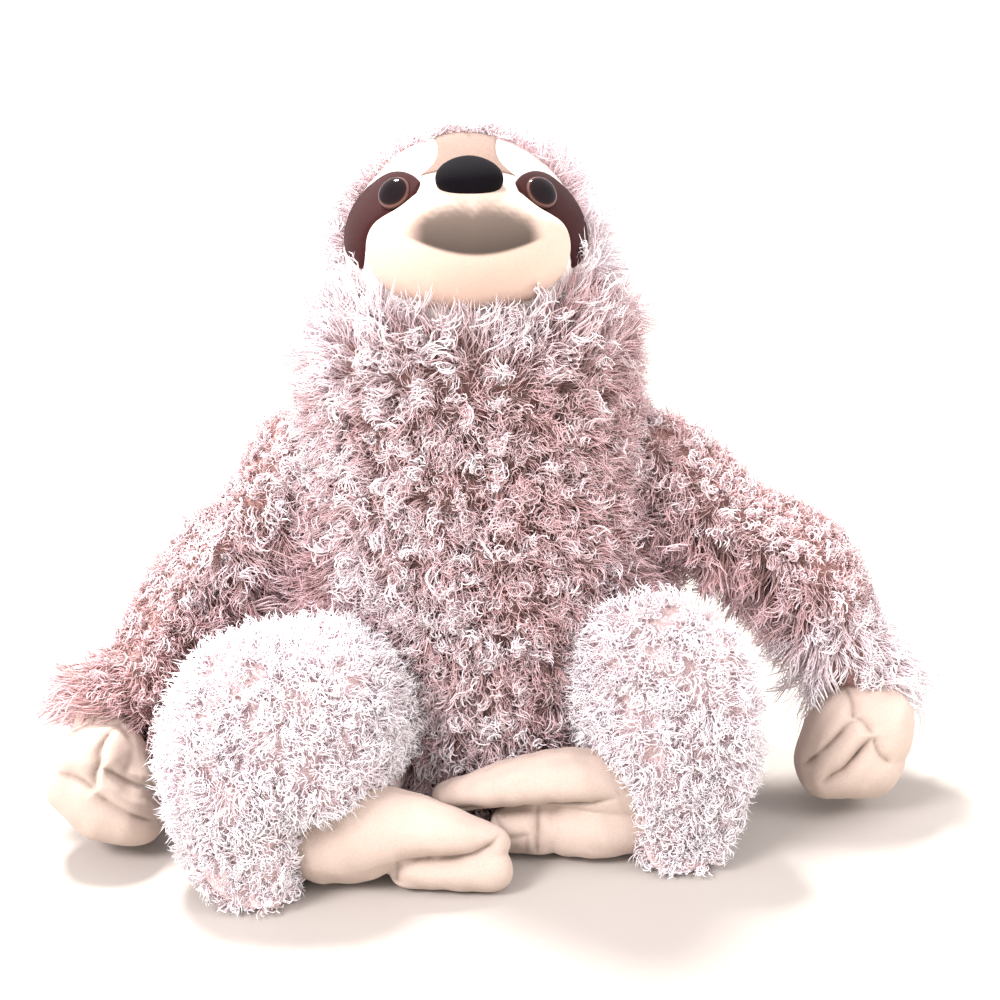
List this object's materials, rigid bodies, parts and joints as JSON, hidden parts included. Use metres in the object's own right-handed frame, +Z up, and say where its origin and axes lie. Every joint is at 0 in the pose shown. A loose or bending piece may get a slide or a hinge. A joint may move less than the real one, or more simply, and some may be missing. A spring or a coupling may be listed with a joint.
{
  "type": "stuffed toy sloth",
  "caption": "Sitting stuffed animal with a curly plush body and limbs, a smooth velour face, hands and feet, set-in eyes and a weighted seat.",
  "frame": {"origin": "middle of the flat underside of the trunk, on the surface that the toy sits on", "axes": "+Z up, the toy faces -Y, and its own left side is +X"},
  "size_m": [0.3656, 0.197, 0.287],
  "materials": {
    "curly_plush": "curly taupe plush with whitish pink tips",
    "white_velour": "short white velour",
    "tan_velour": "short tan velour",
    "brown_velour": "short dark brown velour",
    "black_nose": "matte black velour",
    "polyester_fibre": "loose white fibre",
    "pouch_cloth": "plain woven cloth",
    "plastic_pellets": "loose pellets",
    "brown_eye": "clear glossy brown dome",
    "black_pupil": "black",
    "white_washer": "plain moulded"
  },
  "bodies": {
    "torso": {"torso_fur_cover": "curly_plush", "torso_stuffing": "polyester_fibre", "pellet_pouch": "pouch_cloth", "pellets": "plastic_pellets"},
    "head": {"head_fur_cover": "curly_plush", "face_panel": "white_velour", "forehead_wedge": "tan_velour", "eye_patch_right": "brown_velour", "eye_patch_left": "brown_velour", "muzzle_cover": "white_velour", "nose": "black_nose", "eye_lens_right": "brown_eye", "eye_lens_left": "brown_eye", "eye_pupil_right": "black_pupil", "eye_pupil_left": "black_pupil", "eye_washer_right": "white_washer", "eye_washer_left": "white_washer", "head_stuffing": "polyester_fibre", "muzzle_stuffing": "polyester_fibre"},
    "arm_right": {"arm_fur_cover_right": "curly_plush", "arm_stuffing_right": "polyester_fibre"},
    "hand_right": {"hand_cover_right": "white_velour", "hand_stuffing_right": "polyester_fibre"},
    "leg_right": {"leg_fur_cover_right": "curly_plush", "leg_stuffing_right": "polyester_fibre"},
    "foot_right": {"foot_cover_right": "white_velour", "foot_stuffing_right": "polyester_fibre"},
    "arm_left": {"arm_fur_cover_left": "curly_plush", "arm_stuffing_left": "polyester_fibre"},
    "hand_left": {"hand_cover_left": "white_velour", "hand_stuffing_left": "polyester_fibre"},
    "leg_left": {"leg_fur_cover_left": "curly_plush", "leg_stuffing_left": "polyester_fibre"},
    "foot_left": {"foot_cover_left": "white_velour", "foot_stuffing_left": "polyester_fibre"}
  },
  "joints": [
    {"name": "head_nod", "type": "hinge", "parent": "torso", "child": "head", "pos_m": [-0.005, -0.005, 0.231], "axis": [0.9986, 0.0523, 0], "range_deg": [-20, 12], "stiffness_Nm_per_rad": 0.8},
    {"name": "arm_right_raise", "type": "hinge", "parent": "torso", "child": "arm_right", "pos_m": [-0.077, 0, 0.148], "axis": [0, 1, 0], "range_deg": [0, 70]},
    {"name": "arm_left_raise", "type": "hinge", "parent": "torso", "child": "arm_left", "pos_m": [0.077, 0, 0.145], "axis": [0, -1, 0], "range_deg": [0, 70]},
    {"name": "hand_right_lift", "type": "hinge", "parent": "arm_right", "child": "hand_right", "pos_m": [-0.155, -0.054, 0.044], "axis": [-0.9662, -0.2577, 0], "range_deg": [0, 12], "stiffness_Nm_per_rad": 0.05},
    {"name": "hand_left_lift", "type": "hinge", "parent": "arm_left", "child": "hand_left", "pos_m": [0.173, -0.022, 0.047], "axis": [-0.8944, 0.4472, 0], "range_deg": [0, 12], "stiffness_Nm_per_rad": 0.05},
    {"name": "leg_right_lift", "type": "hinge", "parent": "torso", "child": "leg_right", "pos_m": [-0.05, -0.036, 0.046], "axis": [-1, 0, 0], "range_deg": [0, 12]},
    {"name": "leg_left_lift", "type": "hinge", "parent": "torso", "child": "leg_left", "pos_m": [0.05, -0.036, 0.046], "axis": [-1, 0, 0], "range_deg": [0, 5]},
    {"name": "foot_right_lift", "type": "hinge", "parent": "leg_right", "child": "foot_right", "pos_m": [-0.045, -0.094, 0.0165], "axis": [0, -1, 0], "range_deg": [0, 20], "stiffness_Nm_per_rad": 0.05},
    {"name": "foot_left_lift", "type": "hinge", "parent": "leg_left", "child": "foot_left", "pos_m": [0.053, -0.078, 0.0215], "axis": [0, 1, 0], "range_deg": [0, 20], "stiffness_Nm_per_rad": 0.05}
  ]
}
